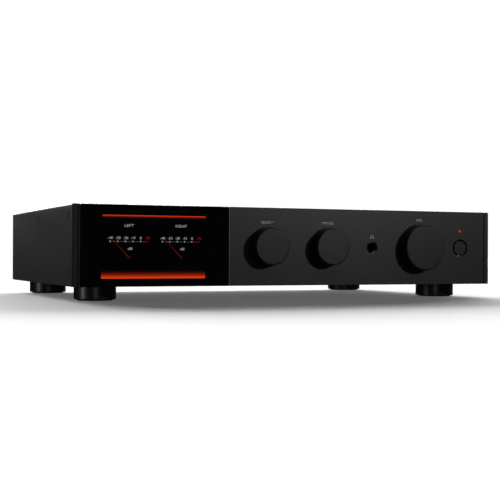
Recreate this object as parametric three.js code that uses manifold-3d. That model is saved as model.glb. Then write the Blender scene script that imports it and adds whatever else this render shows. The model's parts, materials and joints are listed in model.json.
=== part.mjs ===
// Integrated amplifier, a standalone three.js model. Millimetres, +Z up, the front faces -Y.
// The origin is at the centre of the footprint, on the surface that the feet stand on.
// Inside the case group, y is the depth behind the front face and z the height above the case's underside.

import * as THREE from 'three';
import { mergeVertices } from 'three/addons/utils/BufferGeometryUtils.js';
import Module from 'manifold-3d';

const wasm = await Module();
wasm.setup();

// ---- driving dimensions ----
const caseWidth = 444;
const caseHeight = 75;
const caseDepth = 291;
const footHeight = 14;
const knobReach = 13;
const terminalReach = 26;
const gap = 0.3;
const coverSheet = 1.5;
const steelSheet = 1.2;

// ---- dimensions worked out from them ----
const frontY = knobReach - (caseDepth + knobReach + terminalReach) / 2;
const halfWidth = caseWidth / 2;
const innerHalfWidth = halfWidth - coverSheet - gap;
const wallInside = innerHalfWidth - steelSheet;
const roof = caseHeight - coverSheet - gap;
const floor = steelSheet + gap;

// ---- front ----
const plate = { halfWidth: 216.1, thickness: 8 };
const rebateDepth = 4;
const cheek = { inner: 217, lip: 1, depth: 8 };
const glass = { left: -214.8, right: -71.7, thickness: 3, clearance: 0.2 };
const display = { left: -203, right: -87, low: 5.5, high: 67.5, front: 3.4, back: 14 };
const controlHeight = 37.4;
const controls = [
  { name: 'select', x: -31.8, faceRadius: 16.7 },
  { name: 'mode', x: 32.8, faceRadius: 16.7 },
  { name: 'volume', x: 137.4, faceRadius: 21.75 },
];
const knob = { rim: 1, flare: 1.5, lift: 0.5, wall: 2.5, bossRadius: 5, boreRadius: 3.2 };
const shaft = { radius: 3, front: -6, back: 13.5 };
const encoder = { size: 14, front: 9.8, back: 17.7, bushing: 4.5, bushingFront: 4, bore: 3.3 };
const headphone = { x: 82.7, radius: 5.8, bore: 3.25, boreDepth: 34, back: 36, size: 14 };
const power = { x: 187, holeRadius: 8.85, capRadius: 7.45, capDepth: 5, stemRadius: 3.5, travel: 1.5 };
const led = { height: 55, radius: 1.25, collar: 2.4 };
const subframe = { front: plate.thickness + gap, flangeHeight: [20, 56], flangeDepth: 22 };
const board = { front: 18, thickness: 1.6 };

// ---- case ----
const screws = { depths: [13, 149], heights: [12.3, 64], head: 3.4, shank: 1.9, hole: 2.3, length: 10 };
const vent = { rows: [85, 150], columns: 22, pitch: 12, width: 3.6, length: 40 };
const floorVent = { rows: [120], columns: 12, pitch: 16, width: 3.6, length: 40 };
const feet = { x: 188, depths: [50.6, 260], radius: 20, padRadius: 17, padHeight: 2.2, lift: 1 };

// ---- inside and rear ----
const rearOuter = caseDepth - 0.8;
const rearInner = rearOuter - steelSheet;
const transformer = { x: -125, depth: 112, radius: 56, hole: 18, height: 48 };
const sink = { x: 8, depths: [82, 210], fins: 16, finLength: 32, finWidth: 2, base: 6, height: 56 };
const ampBoard = { x: [56, 208], depths: [60, 230], height: 8 };
const inputBoard = { x: [-122, 50], depths: [216, 284], height: 18 };
const relay = { x: [150, 190], depths: [185, 215], height: 24 };
const capacitors = { x: [95, 140], depth: 95, radius: 17.5, height: 45 };
const inlet = { x: -188, height: 34 };
const rocker = { x: -150, height: 34, radius: 3, swing: 9 };
const posts = { x: [102, 132, 168, 198], height: 38, stud: 3, capRadius: 7.5, capFront: 297 };
const mainsSeam = -136;
const jacks = { radius: 4.2, bore: 1.7, reach: 9.5, faceHeights: [22, 59], faceLift: 0.4 };
const analogue = { x: [-23, -4, 15, 34], heights: [32, 50], faceX: [-32, 43] };
const coaxial = { x: -66, heights: [32, 50] };
const optical = { x: [-104, -87], height: 41, size: 9.6, mouth: 6.8, lift: 1.4 };
const digitalFaceX = [-112, -58];

// ---- materials ----
function finish(color, roughness, metalness) {
  return new THREE.MeshStandardMaterial({ color, roughness, metalness });
}
const anodised = finish(0x1d1e20, 0.5, 0.9);
const knobMetal = finish(0x18191b, 0.45, 0.9);
const coverPaint = finish(0x1f2022, 0.6, 0.2);
const steel = finish(0x9a9c9e, 0.4, 0.9);
const windowGlass = finish(0x050505, 0.05, 0);
const blackPlastic = finish(0x131314, 0.5, 0);
const rubber = finish(0x0d0d0d, 0.9, 0);
const redLens = finish(0xff2a1a, 0.3, 0);
const redPlastic = finish(0xb01a1a, 0.35, 0);
const boardGreen = finish(0x1d4a33, 0.6, 0);
const windingTape = finish(0xc8b45a, 0.6, 0);
const bareAluminium = finish(0xb4b6b8, 0.45, 0.9);
const sleeve = finish(0x20242c, 0.35, 0);

// ---- solids: three.js shapes, cut and joined ----
function solid(geometry) {
  const bare = geometry.clone();
  bare.deleteAttribute('normal');
  bare.deleteAttribute('uv');
  const merged = mergeVertices(bare, 1e-4);
  const made = new wasm.Manifold(new wasm.Mesh({
    numProp: 3,
    vertProperties: merged.attributes.position.array,
    triVerts: new Uint32Array(merged.index.array),
  }));
  if (made.volume() < 0) throw new Error('a profile runs the wrong way round');
  return made;
}

function geometryOf(shape) {
  const mesh = shape.getMesh();
  const geometry = new THREE.BufferGeometry();
  geometry.setAttribute('position', new THREE.BufferAttribute(mesh.vertProperties, 3));
  geometry.setIndex(new THREE.BufferAttribute(mesh.triVerts, 1));
  return geometry;
}

// A box from its range along x, y (depth) and z (height).
function block(x, y, z) {
  const geometry = new THREE.BoxGeometry(x[1] - x[0], y[1] - y[0], z[1] - z[0]);
  geometry.translate((x[0] + x[1]) / 2, (y[0] + y[1]) / 2, (z[0] + z[1]) / 2);
  return solid(geometry);
}

// A turned piece about the y axis. The profile holds [radius, y] and runs from low y to high y.
function turned(profile, sides) {
  const points = profile.map(([radius, along]) => new THREE.Vector2(radius, along));
  return solid(new THREE.LatheGeometry(points, sides));
}

// A round bar along y at x, z.
function bar(radius, y, x, z, sides = 24) {
  return turned([[0, y[0]], [radius, y[0]], [radius, y[1]], [0, y[1]]], sides).translate([x, 0, z]);
}

// A round bar that stands along z at x, y.
function post(radius, z, x, y, sides = 24) {
  return bar(radius, [-z[1], -z[0]], 0, 0, sides).rotate([-90, 0, 0]).translate([x, y, 0]);
}

function join(shapes) {
  return shapes.reduce((all, shape) => all.add(shape));
}

function cut(body, shapes) {
  return shapes.reduce((left, shape) => left.subtract(shape), body);
}

function mirrored(range) {
  return [-range[1], -range[0]];
}

// Slots that run along the depth, in rows of evenly spaced columns.
function slots(field, z) {
  const first = -(field.columns - 1) * field.pitch / 2;
  const boxes = [];
  for (const row of field.rows) {
    for (let column = 0; column < field.columns; column += 1) {
      const x = first + column * field.pitch;
      boxes.push(block([x - field.width / 2, x + field.width / 2], [row, row + field.length], z));
    }
  }
  return boxes;
}

function sideScrewPlaces() {
  const places = [];
  for (const side of [-1, 1]) {
    for (const depth of screws.depths) {
      for (const height of screws.heights) places.push({ side, depth, height });
    }
  }
  return places;
}

// ---- front panel ----
function frontFascia() {
  const body = block([-plate.halfWidth, plate.halfWidth], [0, plate.thickness], [0, caseHeight]);
  const across = [-halfWidth, halfWidth];
  const behind = [rebateDepth - gap, plate.thickness + 1];
  const holes = [
    block(across, behind, [roof, caseHeight + 1]),
    block(across, behind, [-1, floor]),
    block([glass.left - glass.clearance, glass.right + glass.clearance],
      [-1, glass.thickness + glass.clearance], [-1, caseHeight + 1]),
    block([display.left - 3, display.right + 3], [-1, plate.thickness + 1], [display.low - 1.5, display.high + 1.5]),
    bar(headphone.radius + gap, [-1, plate.thickness + 1], headphone.x, controlHeight, 28),
    bar(power.holeRadius, [-1, plate.thickness + 1], power.x, controlHeight, 32),
    bar(led.radius + 0.2, [-1, plate.thickness + 1], power.x, led.height, 16),
  ];
  for (const control of controls) holes.push(bar(6, [-1, plate.thickness + 1], control.x, controlHeight));
  return cut(body, holes);
}

// The end pieces have an L section, so that their lips cover the front edges of the cover's sides.
function endCheek(side) {
  const turn = side < 0 ? mirrored : (range) => range;
  const lip = block(turn([cheek.inner, halfWidth]), [0, cheek.lip], [0, caseHeight]);
  const leg = block(turn([cheek.inner, innerHalfWidth]), [cheek.lip - 0.1, cheek.depth], [0, caseHeight]);
  const behind = [rebateDepth - gap, cheek.depth + 1];
  return cut(lip.add(leg), [
    block([-halfWidth, halfWidth], behind, [roof, caseHeight + 1]),
    block([-halfWidth, halfWidth], behind, [-1, floor]),
  ]);
}

function displayWindow() {
  return block([glass.left, glass.right], [0, glass.thickness], [0, caseHeight]);
}

function displayModule() {
  const body = block([display.left, display.right], [display.front, display.back], [display.low, display.high]);
  const recess = block([display.left + 3, display.right - 3], [display.front - 1, display.front + 0.4],
    [display.low + 1, display.high - 1]);
  return cut(body, [recess]);
}

function frontSubframe() {
  const web = [subframe.front, subframe.front + steelSheet];
  const reach = wallInside - gap;
  const shapes = [
    block([-reach, reach], web, [floor, roof]),
    block([-210, 210], [web[0], subframe.flangeDepth], [floor, floor + steelSheet]),
    block([-210, 210], [web[0], subframe.flangeDepth], [roof - steelSheet, roof]),
    block([reach - steelSheet, reach], [web[0], subframe.flangeDepth], subframe.flangeHeight),
    block([-reach, steelSheet - reach], [web[0], subframe.flangeDepth], subframe.flangeHeight),
  ];
  const through = [web[0] - 1, web[1] + 1];
  const holes = [
    block([display.left - 2, display.right + 2], through, [display.low - 1, display.high + 1]),
    bar(headphone.radius + gap, through, headphone.x, controlHeight),
    bar(power.stemRadius + 1, through, power.x, controlHeight),
    bar(led.radius + gap, through, power.x, led.height, 12),
  ];
  for (const control of controls) holes.push(bar(encoder.bushing + gap, through, control.x, controlHeight));
  return cut(join(shapes), holes);
}

function controlBoard() {
  const body = block([-208, 206], [board.front, board.front + board.thickness], [6, 68]);
  const room = headphone.size / 2 + 1;
  return cut(body, [block([headphone.x - room, headphone.x + room], [board.front - 1, board.front + 3],
    [controlHeight - room, controlHeight + room])]);
}

// ---- knobs: turned about their own axis, y = 0 at the fascia's face and the base towards +y ----
function knobShape(faceRadius) {
  const rimRadius = faceRadius + knob.rim;
  const baseRadius = rimRadius + knob.flare;
  const hollow = knobReach - 4;
  return turned([
    [0, -knobReach],
    [faceRadius, -knobReach],
    [rimRadius, knob.rim - knobReach],
    [baseRadius, -knob.lift],
    [baseRadius - knob.wall, -knob.lift],
    [rimRadius - knob.wall, -hollow],
    [knob.bossRadius, -hollow],
    [knob.bossRadius, -knob.lift],
    [knob.boreRadius, -knob.lift],
    [knob.boreRadius, shaft.front - 0.4],
    [0, shaft.front - 0.4],
  ], 40);
}

function shaftShape() {
  return bar(shaft.radius, [shaft.front, shaft.back], 0, 0, 20);
}

function encoderShape() {
  const half = encoder.size / 2;
  const body = block([-half, half], [encoder.front, encoder.back], [-half, half]);
  const bushing = bar(encoder.bushing, [encoder.bushingFront, encoder.front + 1], 0, 0, 20);
  return cut(body.add(bushing), [bar(encoder.bore, [encoder.bushingFront - 1, shaft.back + 0.5], 0, 0, 20)]);
}

// ---- power button, lamp and headphone socket ----
function powerButton() {
  const stemEnd = 12.2 - gap - power.travel;
  return turned([
    [0, 0],
    [power.capRadius - 0.4, 0],
    [power.capRadius, 0.4],
    [power.capRadius, power.capDepth],
    [power.stemRadius, power.capDepth],
    [power.stemRadius, stemEnd],
    [0, stemEnd],
  ], 28);
}

function powerSwitch() {
  return block([-7, 7], [12.2, encoder.back], [-7, 7]);
}

function standbyLightPipe() {
  return turned([
    [0, 0.1],
    [led.radius, 0.1],
    [led.radius, encoder.front],
    [led.collar, encoder.front],
    [led.collar, encoder.back],
    [0, encoder.back],
  ], 16);
}

function headphoneSocket() {
  const half = headphone.size / 2;
  const body = block([-half, half], [encoder.front, headphone.back], [-half, half]);
  const sleeveTube = bar(headphone.radius, [0, encoder.front + 1], 0, 0, 32);
  return cut(body.add(sleeveTube), [bar(headphone.bore, [-1, headphone.boreDepth], 0, 0, 24)]);
}

// ---- case ----
function bottomChassis() {
  const wallDepths = [cheek.depth + 1.8, rearInner - gap];
  const tray = join([
    block([-innerHalfWidth, innerHalfWidth], [rebateDepth, rearOuter], [0, steelSheet]),
    block([wallInside, innerHalfWidth], wallDepths, [0, 70]),
    block([-innerHalfWidth, -wallInside], wallDepths, [0, 70]),
    ...standOffs(ampBoard),
    ...standOffs(inputBoard),
  ]);
  const holes = slots(floorVent, [-1, 3]);
  for (const { side, depth, height } of sideScrewPlaces()) {
    const z = [side * innerHalfWidth - 3, side * innerHalfWidth + 3];
    holes.push(crossBar(screws.hole, z, depth, height, 12));
  }
  return cut(tray, holes);
}

// Posts under a board's four corners, pressed up from the tray.
function standOffs(item) {
  const inset = 6;
  const shapes = [];
  for (const x of [item.x[0] + inset, item.x[1] - inset]) {
    for (const y of [item.depths[0] + inset, item.depths[1] - inset]) {
      shapes.push(post(3.5, [steelSheet - 0.1, item.height - gap], x, y, 12));
    }
  }
  return shapes;
}

// A round bar that lies along x, at a depth and a height.
function crossBar(radius, x, depth, height, sides) {
  return bar(radius, x, 0, 0, sides).rotate([0, 0, -90]).translate([0, depth, height]);
}

// The countersunk hole and the screw share one shape: the hole is the screw, grown by a clearance.
function sideScrew(side, grow) {
  const face = halfWidth + (grow ? 0.5 : -0.1);
  const profile = [
    [0, -face],
    [screws.head + grow, -face],
    [screws.head + grow, -halfWidth + 0.2],
    [screws.shank + grow, -halfWidth + coverSheet + 0.1],
    [screws.shank + grow, screws.length - halfWidth],
    [0, screws.length - halfWidth],
  ];
  return turned(profile, 14).rotate([0, 0, side < 0 ? -90 : 90]);
}

function topCover() {
  const outer = block([-halfWidth, halfWidth], [cheek.lip + gap, caseDepth], [0.6, caseHeight]);
  const inside = halfWidth - coverSheet;
  const holes = [
    block([-inside, inside], [-1, caseDepth + 1], [-1, caseHeight - coverSheet]),
    block([-inside, inside], [-1, rebateDepth], [-1, caseHeight + 1]),
    ...slots(vent, [caseHeight - 3, caseHeight + 1]),
  ];
  for (const { side, depth, height } of sideScrewPlaces()) {
    holes.push(sideScrew(side, 0.4).translate([0, depth, height]));
  }
  return cut(outer, holes);
}

function footShape() {
  return turned([
    [0, 2.5 - footHeight],
    [feet.padRadius + gap, 2.5 - footHeight],
    [feet.padRadius + gap, feet.lift - footHeight],
    [feet.radius - 1, feet.lift - footHeight],
    [feet.radius, feet.lift + 1 - footHeight],
    [feet.radius, -gap],
    [0, -gap],
  ], 32);
}

function footPad() {
  return turned([
    [4, -footHeight],
    [feet.padRadius, -footHeight],
    [feet.padRadius, feet.padHeight - footHeight],
    [4, feet.padHeight - footHeight],
    [4, -footHeight],
  ], 28);
}

// ---- rear panels and their connectors ----
// A rectangle through the rear sheet, grown from its ranges along x and z.
function rearHole(x, z, grow = 0) {
  return block([x[0] - grow, x[1] + grow], [rearInner - 1, rearOuter + 1], [z[0] - grow, z[1] + grow]);
}

function rearPanel() {
  const body = block([mainsSeam, innerHalfWidth], [rearInner, rearOuter], [floor, roof]);
  return cut(body, [
    rearHole([posts.x[0] - 8, posts.x[3] + 8], [posts.height - 9, posts.height + 9]),
    rearHole(analogue.faceX, jacks.faceHeights, gap),
    rearHole(digitalFaceX, jacks.faceHeights, gap),
  ]);
}

// The part of the rear sheet that carries the inlet and the mains switch.
function mainsPanel() {
  const body = block([-innerHalfWidth, mainsSeam - gap], [rearInner, rearOuter], [floor, roof]);
  return cut(body, [
    rearHole([inlet.x - 14, inlet.x + 14], [inlet.height - 10.5, inlet.height + 10.5]),
    rearHole([rocker.x - 6.9, rocker.x + 6.9], [rocker.height - 10, rocker.height + 10]),
  ]);
}

function analoguePlaces() {
  return analogue.x.flatMap((x) => analogue.heights.map((z) => ({ x, z })));
}

function coaxialPlaces() {
  return coaxial.heights.map((z) => ({ x: coaxial.x, z }));
}

// A housing with a face in the rear sheet and its round jacks: each is a barrel with a contact hole.
function jackBlock(x, top, faceX, places, shells = [], mouths = []) {
  const housing = join([
    block(x, [262, rearInner - gap], [inputBoard.height + board.thickness + gap, top]),
    block(faceX, [rearInner - 1, rearOuter + jacks.faceLift], jacks.faceHeights),
  ]);
  const end = rearOuter + jacks.reach;
  const barrels = places.map((at) => bar(jacks.radius, [280, end], at.x, at.z, 16));
  const bores = places.map((at) => bar(jacks.bore, [end - 8, end + 1], at.x, at.z, 10));
  return cut(join([housing, ...barrels, ...shells]), [...bores, ...mouths]);
}

// A square column at each optical port, as half its width and its depths.
function opticalColumns(half, depths) {
  const heights = [optical.height - half, optical.height + half];
  return optical.x.map((x) => block([x - half, x + half], depths, heights));
}

// The optical ports are closed by their shutters, so each mouth is a shallow recess.
function digitalJackBlock() {
  const shells = opticalColumns(optical.size / 2, [280, rearOuter + optical.lift]);
  const mouths = opticalColumns(optical.mouth / 2, [rearOuter, rearOuter + optical.lift + 1]);
  return jackBlock([-114, -56], 60, digitalFaceX, coaxialPlaces(), shells, mouths);
}

// A three-pin appliance inlet: a flange on the panel, a deep socket and three blades.
function mainsInlet() {
  const h = inlet.height;
  const shell = join([
    block([inlet.x - 15.5, inlet.x + 15.5], [rearOuter + gap, rearOuter + 2.3], [h - 12, h + 12]),
    block([inlet.x - 13.6, inlet.x + 13.6], [268, rearOuter + 1], [h - 10.1, h + 10.1]),
  ]);
  const socket = block([inlet.x - 12, inlet.x + 12], [274, rearOuter + 4], [h - 8.2, h + 8.2]);
  const blades = [[-7, -1.5], [0, 2.5], [7, -1.5]].map(([x, z]) => (
    block([inlet.x + x - 1, inlet.x + x + 1], [273, 287], [h + z - 2, h + z + 2])
  ));
  return join([shell.subtract(socket), ...blades]);
}

function mainsSwitchHousing() {
  const h = rocker.height;
  const shell = join([
    block([rocker.x - 7.5, rocker.x + 7.5], [rearOuter + gap, rearOuter + 1.8], [h - 10.8, h + 10.8]),
    block([rocker.x - 6.5, rocker.x + 6.5], [272, rearOuter + 1], [h - 9.7, h + 9.7]),
  ]);
  return cut(shell, [block([rocker.x - 5.3, rocker.x + 5.3], [279, rearOuter + 4], [h - 8.6, h + 8.6])]);
}

// The rocker's paddle is a shallow V, modelled level and turned to its resting end by its mesh.
function mainsRocker() {
  const outline = new THREE.Shape();
  outline.moveTo(-7.6, 2.6);
  outline.lineTo(-2.5, -3.2);
  outline.lineTo(2.5, -3.2);
  outline.lineTo(7.6, 2.6);
  outline.lineTo(0, 1.4);
  outline.closePath();
  const geometry = new THREE.ExtrudeGeometry(outline, { depth: 10, bevelEnabled: false });
  geometry.translate(0, 0, -5);
  return solid(geometry).rotate([0, 90, 0]);
}

function speakerTerminals() {
  const x = [posts.x[0] - 11, posts.x[3] + 11];
  const h = posts.height;
  const base = join([
    block(x, [rearOuter + gap, rearOuter + 3.5], [h - 13, h + 13]),
    block([posts.x[0] - 7.5, posts.x[3] + 7.5], [278, rearOuter + 1], [h - 8.5, h + 8.5]),
  ]);
  return join([base, ...posts.x.map((at) => bar(posts.stud, [rearOuter + 2, caseDepth + 22], at, h, 16))]);
}

function bindingCap() {
  const end = caseDepth + terminalReach;
  const bore = posts.stud + gap;
  return turned([
    [bore, posts.capFront],
    [posts.capRadius - 1.5, posts.capFront],
    [posts.capRadius - 1.5, posts.capFront + 3],
    [posts.capRadius, posts.capFront + 4],
    [posts.capRadius, end - 1],
    [posts.capRadius - 1, end],
    [2.2, end],
    [2.2, caseDepth + 22 + gap],
    [bore, caseDepth + 22 + gap],
    [bore, posts.capFront],
  ], 20);
}

// ---- inside ----
function toroidalTransformer() {
  const low = floor + gap;
  const high = low + transformer.height;
  const r = transformer.radius;
  const round = 9;
  const profile = [];
  const corners = [
    [r - round, low + round, -Math.PI / 2],
    [r - round, high - round, 0],
    [transformer.hole + round, high - round, Math.PI / 2],
    [transformer.hole + round, low + round, Math.PI],
  ];
  for (const [x, z, start] of corners) {
    for (let step = 0; step <= 3; step += 1) {
      const angle = start + (step * Math.PI) / 6;
      profile.push([x + round * Math.cos(angle), -(z + round * Math.sin(angle))]);
    }
  }
  profile.push(profile[0]);
  return turned(profile.reverse(), 30).rotate([-90, 0, 0]);
}

// The plate over the transformer with the bolt that holds it down.
function transformerClamp() {
  const low = floor + transformer.height + 2 * gap;
  const top = low + 2;
  return join([post(34, [low, top], 0, 0), post(4, [floor, top + 8], 0, 0, 16), post(7, [low, top + 6], 0, 0, 6)]);
}

function heatsink() {
  const [front, back] = sink.depths;
  const pitch = (back - front - sink.finWidth) / (sink.fins - 1);
  const root = sink.finLength;
  const outline = new THREE.Shape();
  outline.moveTo(root + sink.base, front);
  outline.lineTo(root + sink.base, back);
  for (let fin = sink.fins - 1; fin >= 0; fin -= 1) {
    const y = front + fin * pitch;
    if (fin < sink.fins - 1) outline.lineTo(root, y + sink.finWidth);
    outline.lineTo(0, y + sink.finWidth);
    outline.lineTo(0, y);
    if (fin > 0) outline.lineTo(root, y);
  }
  outline.closePath();
  const geometry = new THREE.ExtrudeGeometry(outline, { depth: sink.height, bevelEnabled: false });
  geometry.translate(0, 0, floor);
  return solid(geometry);
}

function powerModule() {
  return block([0, 5], [-13, 13], [12, 46]);
}

function capacitorShape() {
  const low = ampBoard.height + board.thickness + gap;
  return post(capacitors.radius, [low, low + capacitors.height], 0, 0, 28);
}

function relayShape() {
  const low = ampBoard.height + board.thickness + gap;
  return block(relay.x, relay.depths, [low, low + relay.height]);
}

function flatBoard(item) {
  return block(item.x, item.depths, [item.height, item.height + board.thickness]);
}

// ---- assembly ----
const group = new THREE.Group();
group.name = 'integrated_amplifier';
const caseGroup = new THREE.Group();
caseGroup.position.set(0, frontY, footHeight);
group.add(caseGroup);

function add(name, shape, material, place = [0, 0, 0]) {
  const mesh = new THREE.Mesh(geometryOf(shape), material);
  mesh.name = name;
  mesh.position.set(...place);
  caseGroup.add(mesh);
  return mesh;
}

add('front_fascia', frontFascia(), anodised);
add('left_end_cheek', endCheek(-1), anodised);
add('right_end_cheek', endCheek(1), anodised);
add('display_window', displayWindow(), windowGlass);
add('display_module', displayModule(), blackPlastic);
add('front_subframe', frontSubframe(), steel);
add('control_board', controlBoard(), boardGreen);

for (const { name, x, faceRadius } of controls) {
  const place = [x, 0, controlHeight];
  add(`${name}_knob`, knobShape(faceRadius), knobMetal, place);
  add(`${name}_shaft`, shaftShape(), steel, place);
  add(`${name}_encoder`, encoderShape(), steel, place);
}

add('power_button', powerButton(), knobMetal, [power.x, 0, controlHeight]);
add('power_switch', powerSwitch(), blackPlastic, [power.x, 0, controlHeight]);
add('standby_light_pipe', standbyLightPipe(), redLens, [power.x, 0, led.height]);
add('headphone_socket', headphoneSocket(), blackPlastic, [headphone.x, 0, controlHeight]);

add('bottom_chassis', bottomChassis(), steel);
add('top_cover', topCover(), coverPaint);
add('rear_panel', rearPanel(), coverPaint);
add('mains_panel', mainsPanel(), coverPaint);

const sideNames = { '-1': 'left', 1: 'right' };
for (const { side, depth, height } of sideScrewPlaces()) {
  const row = height > caseHeight / 2 ? 'upper' : 'lower';
  const column = depth < caseDepth / 4 ? 'front' : 'middle';
  add(`${sideNames[side]}_${row}_${column}_screw`, sideScrew(side, 0), blackPlastic, [0, depth, height]);
}

for (const side of [-1, 1]) {
  for (const depth of feet.depths) {
    const end = depth < caseDepth / 2 ? 'front' : 'rear';
    const centre = { x: side * feet.x, y: depth };
    const foot = add(`${end}_${sideNames[side]}_foot`, footShape(), blackPlastic);
    const pad = add(`${end}_${sideNames[side]}_foot_pad`, footPad(), rubber);
    for (const mesh of [foot, pad]) {
      mesh.position.set(centre.x, centre.y, 0);
      mesh.rotation.x = Math.PI / 2;
    }
  }
}

add('toroidal_transformer', toroidalTransformer(), windingTape, [transformer.x, transformer.depth, 0]);
add('transformer_clamp', transformerClamp(), steel, [transformer.x, transformer.depth, 0]);
add('heatsink', heatsink(), bareAluminium, [sink.x, 0, 0]);
const moduleFace = sink.x + sink.finLength + sink.base + gap;
add('left_power_module', powerModule(), blackPlastic, [moduleFace, 116, 0]);
add('right_power_module', powerModule(), blackPlastic, [moduleFace, 176, 0]);
add('amplifier_board', flatBoard(ampBoard), boardGreen);
add('input_board', flatBoard(inputBoard), boardGreen);
add('speaker_relay', relayShape(), blackPlastic);
capacitors.x.forEach((x, index) => {
  add(`smoothing_capacitor_${index + 1}`, capacitorShape(), sleeve, [x, capacitors.depth, 0]);
});

add('mains_inlet', mainsInlet(), blackPlastic);
add('mains_switch_housing', mainsSwitchHousing(), blackPlastic);
const paddle = add('mains_rocker', mainsRocker(), blackPlastic, [rocker.x, rearOuter - 0.5, rocker.height]);
paddle.rotation.x = THREE.MathUtils.degToRad(rocker.swing);
add('analogue_jack_block', jackBlock([-34, 46], 62, analogue.faceX, analoguePlaces()), blackPlastic);
add('digital_jack_block', digitalJackBlock(), blackPlastic);
add('speaker_terminal_block', speakerTerminals(), blackPlastic);
posts.x.forEach((x, index) => {
  const channel = index < 2 ? 'left' : 'right';
  const pole = index % 2 === 0 ? 'negative' : 'positive';
  add(`${channel}_${pole}_terminal_cap`, bindingCap(), pole === 'positive' ? redPlastic : blackPlastic,
    [x, 0, posts.height]);
});

export default group;
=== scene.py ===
"""The looks of the integrated amplifier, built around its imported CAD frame."""
import json
import math

import bmesh
import bpy
from mathutils import Matrix, Vector


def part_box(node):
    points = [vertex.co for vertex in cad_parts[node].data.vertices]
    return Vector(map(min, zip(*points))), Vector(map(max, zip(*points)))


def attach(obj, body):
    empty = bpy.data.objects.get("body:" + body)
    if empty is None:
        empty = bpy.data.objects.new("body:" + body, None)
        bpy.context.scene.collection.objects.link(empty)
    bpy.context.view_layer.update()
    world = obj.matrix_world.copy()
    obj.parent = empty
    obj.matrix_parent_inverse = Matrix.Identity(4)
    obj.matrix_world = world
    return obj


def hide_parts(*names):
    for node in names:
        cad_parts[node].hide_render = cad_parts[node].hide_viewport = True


MM = 0.001

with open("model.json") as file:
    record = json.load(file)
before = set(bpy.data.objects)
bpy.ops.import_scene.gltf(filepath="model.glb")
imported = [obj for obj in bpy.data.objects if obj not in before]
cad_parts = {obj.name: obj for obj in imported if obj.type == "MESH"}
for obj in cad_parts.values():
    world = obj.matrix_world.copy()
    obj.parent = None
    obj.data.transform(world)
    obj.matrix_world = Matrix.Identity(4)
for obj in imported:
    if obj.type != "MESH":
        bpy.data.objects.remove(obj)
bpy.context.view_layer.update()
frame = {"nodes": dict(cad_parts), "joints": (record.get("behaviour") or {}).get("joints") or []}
joints = {joint["name"]: joint for joint in frame["joints"]}
CASE = "amplifier_case"


# -------------------- sizes from the frame
def span(node):
    """A CAD node's ranges along x, y and z, in millimetres."""
    low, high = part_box(node)
    return [(a / MM, b / MM) for a, b in zip(low, high)]


def middle(pair):
    return (pair[0] + pair[1]) / 2


def half(pair):
    return (pair[1] - pair[0]) / 2


def front_place(node):
    """The middle of a CAD node as seen from the front: its x and z."""
    x, _, z = span(node)
    return middle(x), middle(z)


def joint_place(name):
    return Vector(joints[name]["pos_m"]) / MM


cover_box = span("top_cover")
fascia_box = span("front_fascia")
window_box = span("display_window")
rear_box = span("rear_panel")
FRONT = fascia_box[1][0]
UNDERSIDE = fascia_box[2][0]
TOP = cover_box[2][1]
SHEET = 1.5
KNOBS = ("select", "mode", "volume")
SIDES = ("left", "right")


# -------------------- materials
def shader_of(material):
    return material.node_tree.nodes["Principled BSDF"]


def add_node(tree, kind, **settings):
    node = tree.nodes.new(kind)
    for key, value in settings.items():
        setattr(node, key, value)
    return node


def noise(tree, scale, detail=3.0, stretch=None):
    """A noise texture in object space, with its scale in features per metre."""
    coords = add_node(tree, "ShaderNodeTexCoord")
    texture = add_node(tree, "ShaderNodeTexNoise")
    texture.inputs["Scale"].default_value = scale
    texture.inputs["Detail"].default_value = detail
    source = coords.outputs["Object"]
    if stretch:
        mapping = add_node(tree, "ShaderNodeMapping")
        mapping.inputs["Scale"].default_value = stretch
        tree.links.new(source, mapping.inputs["Vector"])
        source = mapping.outputs["Vector"]
    tree.links.new(source, texture.inputs["Vector"])
    return texture.outputs["Fac"]


def ranged(tree, value, low, high):
    node = add_node(tree, "ShaderNodeMapRange")
    node.inputs["From Min"].default_value = 0.3
    node.inputs["From Max"].default_value = 0.7
    node.inputs["To Min"].default_value = low
    node.inputs["To Max"].default_value = high
    tree.links.new(value, node.inputs["Value"])
    return node.outputs["Result"]


ROUGHNESS_SWING = 0.05


def finish(name, color, roughness, metallic=0.0, grain=900, height=0.01, mottle=0.05,
           specular=0.5, stretch=None, patch=35):
    """A solid finish: mottled colour, uneven roughness and a fine surface grain of a height in mm."""
    material = bpy.data.materials.new(name)
    material.use_nodes = True
    tree = material.node_tree
    shader = shader_of(material)
    shader.inputs["Metallic"].default_value = metallic
    shader.inputs["Specular IOR Level"].default_value = specular
    clouds = noise(tree, patch)
    mix = add_node(tree, "ShaderNodeMix", data_type="RGBA")
    mix.inputs["A"].default_value = [c * (1 - mottle) for c in color] + [1.0]
    mix.inputs["B"].default_value = [c * (1 + mottle) for c in color] + [1.0]
    tree.links.new(ranged(tree, clouds, 0.0, 1.0), mix.inputs["Factor"])
    tree.links.new(mix.outputs["Result"], shader.inputs["Base Color"])
    fine = noise(tree, grain, 2.0, stretch)
    uneven = ranged(tree, fine, roughness - ROUGHNESS_SWING, roughness + ROUGHNESS_SWING)
    tree.links.new(uneven, shader.inputs["Roughness"])
    bump = add_node(tree, "ShaderNodeBump")
    bump.inputs["Strength"].default_value = 1.0
    bump.inputs["Distance"].default_value = height * MM
    tree.links.new(fine, bump.inputs["Height"])
    tree.links.new(bump.outputs["Normal"], shader.inputs["Normal"])
    return material


def lit(name, color, strength):
    """A surface that gives light and reflects almost none."""
    material = bpy.data.materials.new(name)
    material.use_nodes = True
    shader = shader_of(material)
    shader.inputs["Base Color"].default_value = (0.0, 0.0, 0.0, 1.0)
    shader.inputs["Roughness"].default_value = 0.8
    shader.inputs["Specular IOR Level"].default_value = 0.0
    shader.inputs["Emission Color"].default_value = (*color, 1.0)
    shader.inputs["Emission Strength"].default_value = strength
    return material


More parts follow.
